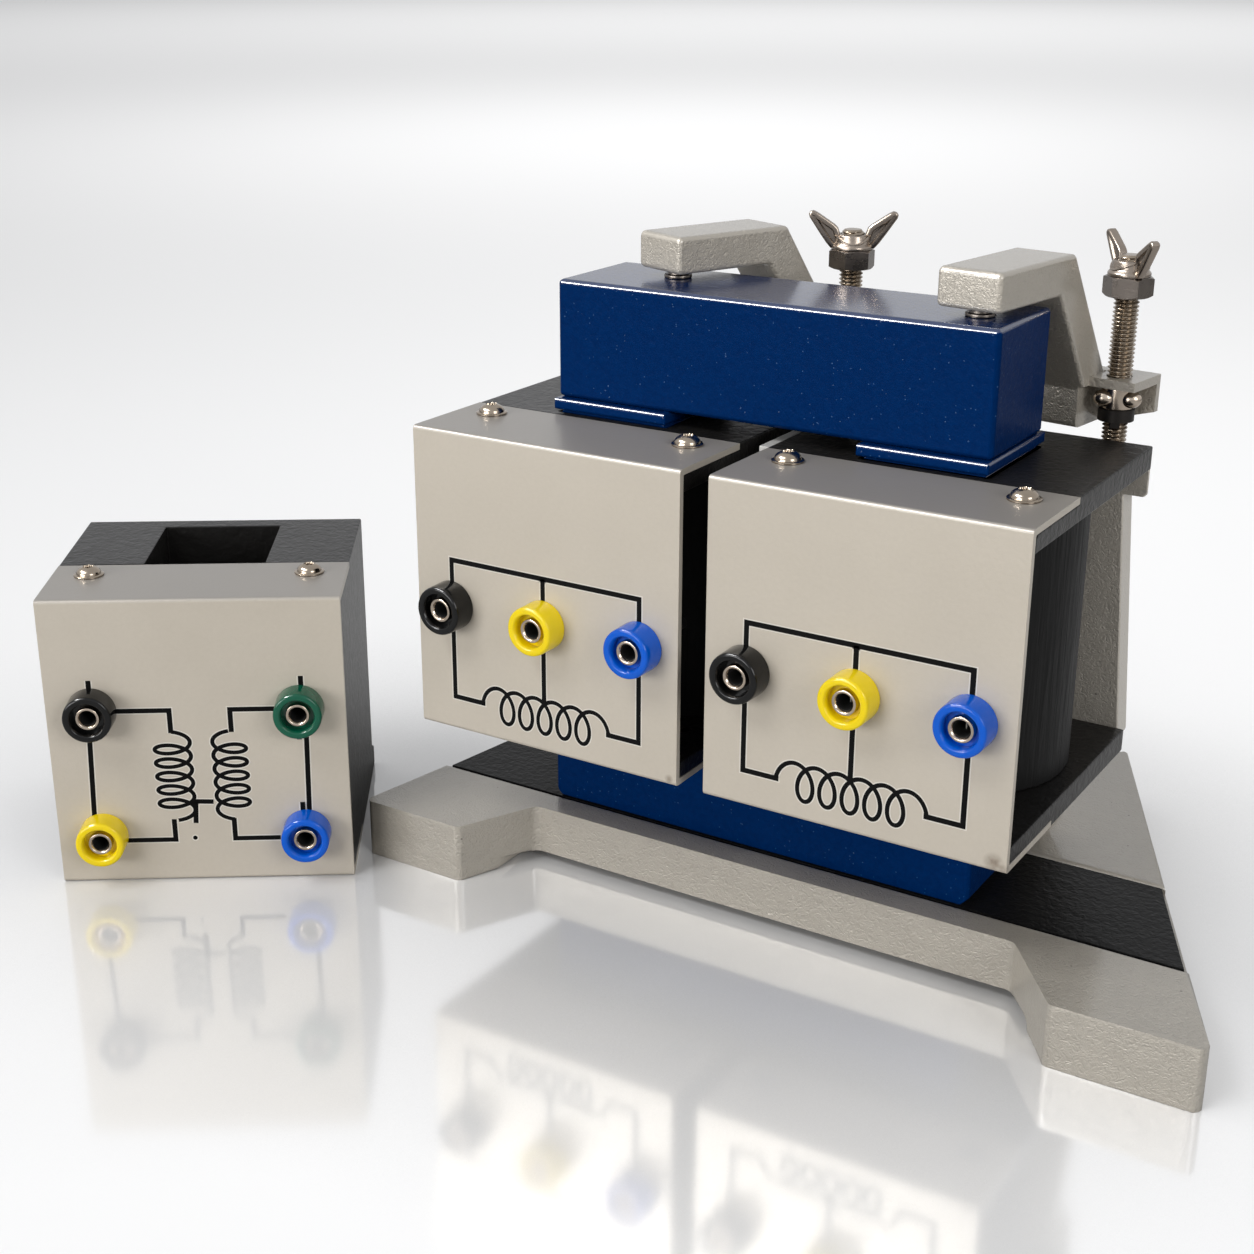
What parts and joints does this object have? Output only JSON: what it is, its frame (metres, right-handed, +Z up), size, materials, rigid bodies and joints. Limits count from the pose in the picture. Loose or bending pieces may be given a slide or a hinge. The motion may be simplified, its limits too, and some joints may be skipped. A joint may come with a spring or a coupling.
{
  "type": "dissectible transformer",
  "caption": "Teaching transformer: coils slide on the limbs of a U core on a cast stand, a loose yoke is held down by swinging clamps, and a spare coil stands beside it.",
  "frame": {"origin": "on the table under the middle of the U core", "axes": "+X to the right along the front panels, +Y to the back, +Z up"},
  "size_m": [0.3205, 0.1964, 0.1671],
  "materials": {
    "base_enamel": "grey hammertone enamel on cast metal",
    "plate_enamel": "grey hammertone enamel on cast metal",
    "arm_enamel": "grey hammertone enamel on cast metal",
    "core_enamel": "deep blue glossy enamel on laminated iron",
    "strip": "black, finely textured",
    "panel_paint": "warm light grey satin paint with black graphics",
    "former": "black satin",
    "tape": "black textured tape over the wound wire",
    "lead": "black insulated wire",
    "board": "pale board",
    "socket_black": "glossy",
    "socket_yellow": "glossy",
    "socket_blue": "glossy",
    "socket_green": "glossy",
    "nickel": "nickel plate with a warm tint",
    "steel": "bright zinc or nickel plate, satin",
    "dark_steel": "blackened steel"
  },
  "bodies": {
    "stand": {"base_casting": "base_enamel", "base_strip": "strip", "u_core": "core_enamel", "core_bolts": "steel", "back_plate": "plate_enamel", "plate_screws": "steel"},
    "yoke_body": {"yoke": "core_enamel", "left_pole_pad": "core_enamel", "right_pole_pad": "core_enamel"},
    "left_coil": {"left_former": "former", "left_winding": "tape", "left_panel": "panel_paint", "left_flap_screws": "steel", "left_socket_black": "socket_black", "left_socket_yellow": "socket_yellow", "left_socket_blue": "socket_blue", "left_sleeves": "nickel", "left_socket_nuts": "steel", "left_leads": "lead"},
    "right_coil": {"right_former": "former", "right_winding": "tape", "right_panel": "panel_paint", "right_flap_screws": "steel", "right_socket_black": "socket_black", "right_socket_yellow": "socket_yellow", "right_socket_blue": "socket_blue", "right_sleeves": "nickel", "right_socket_nuts": "steel", "right_leads": "lead", "coil_spacer": "board"},
    "spare_coil": {"spare_former": "former", "spare_winding": "tape", "spare_panel": "panel_paint", "spare_flap_screws": "steel", "spare_socket_black": "socket_black", "spare_socket_green": "socket_green", "spare_socket_yellow": "socket_yellow", "spare_socket_blue": "socket_blue", "spare_sleeves": "nickel", "spare_socket_nuts": "steel", "spare_leads": "lead"},
    "left_stud_body": {"left_stud": "nickel"},
    "left_arm_body": {"left_arm": "arm_enamel"},
    "left_press_body": {"left_pressure_screw": "nickel"},
    "left_top_nuts": {"left_hex_nut": "steel", "left_wing_nut": "nickel"},
    "left_lower_nuts": {"left_lock_nut": "nickel", "left_lock_collar": "dark_steel"},
    "right_stud_body": {"right_stud": "nickel"},
    "right_arm_body": {"right_arm": "arm_enamel"},
    "right_press_body": {"right_pressure_screw": "nickel"},
    "right_top_nuts": {"right_hex_nut": "steel", "right_wing_nut": "nickel"},
    "right_lower_nuts": {"right_lock_nut": "nickel", "right_lock_collar": "dark_steel"}
  },
  "joints": [
    {"name": "yoke_lift", "type": "slide", "parent": "stand", "child": "yoke_body", "axis": [0, 0, 1], "range_m": [0, 0.12]},
    {"name": "left_coil_lift", "type": "slide", "parent": "stand", "child": "left_coil", "axis": [0, 0, 1], "range_m": [0, 0.085]},
    {"name": "right_coil_lift", "type": "slide", "parent": "stand", "child": "right_coil", "axis": [0, 0, 1], "range_m": [0, 0.085]},
    {"name": "spare_coil_lift", "type": "slide", "parent": "stand", "child": "spare_coil", "axis": [0, 0, 1], "range_m": [0, 0.12]},
    {"name": "left_clamp_lift", "type": "slide", "parent": "stand", "child": "left_stud_body", "axis": [0, 0, 1], "range_m": [0, 0.182]},
    {"name": "left_arm_swing", "type": "hinge", "parent": "left_stud_body", "child": "left_arm_body", "pos_m": [-0.0045, 0.0392, 0.134], "axis": [0, 0, 1], "range_deg": [-68, 22]},
    {"name": "left_press_turn", "type": "hinge", "parent": "left_arm_body", "child": "left_press_body", "pos_m": [-0.03341, 0.00235, 0.155], "axis": [0, 0, 1], "continuous": true},
    {"name": "left_wing_turn", "type": "hinge", "parent": "left_stud_body", "child": "left_top_nuts", "pos_m": [-0.0045, 0.0392, 0.1575], "axis": [0, 0, 1], "continuous": true},
    {"name": "left_lock_turn", "type": "hinge", "parent": "left_stud_body", "child": "left_lower_nuts", "pos_m": [-0.0045, 0.0392, 0.125], "axis": [0, 0, 1], "continuous": true},
    {"name": "right_clamp_lift", "type": "slide", "parent": "stand", "child": "right_stud_body", "axis": [0, 0, 1], "range_m": [0, 0.182]},
    {"name": "right_arm_swing", "type": "hinge", "parent": "right_stud_body", "child": "right_arm_body", "pos_m": [0.0665, 0.0392, 0.134], "axis": [0, 0, 1], "range_deg": [-82, 8]},
    {"name": "right_press_turn", "type": "hinge", "parent": "right_arm_body", "child": "right_press_body", "pos_m": [0.04736, -0.00355, 0.155], "axis": [0, 0, 1], "continuous": true},
    {"name": "right_wing_turn", "type": "hinge", "parent": "right_stud_body", "child": "right_top_nuts", "pos_m": [0.0665, 0.0392, 0.1575], "axis": [0, 0, 1], "continuous": true},
    {"name": "right_lock_turn", "type": "hinge", "parent": "right_stud_body", "child": "right_lower_nuts", "pos_m": [0.0665, 0.0392, 0.125], "axis": [0, 0, 1], "continuous": true}
  ],
  "couplings": [
    {"joint": "left_coil_lift", "follows": "yoke_lift", "ratio": 0.7},
    {"joint": "right_coil_lift", "follows": "yoke_lift", "ratio": 0.7},
    {"joint": "left_clamp_lift", "follows": "yoke_lift", "ratio": 1.5},
    {"joint": "right_clamp_lift", "follows": "yoke_lift", "ratio": 1.5}
  ]
}
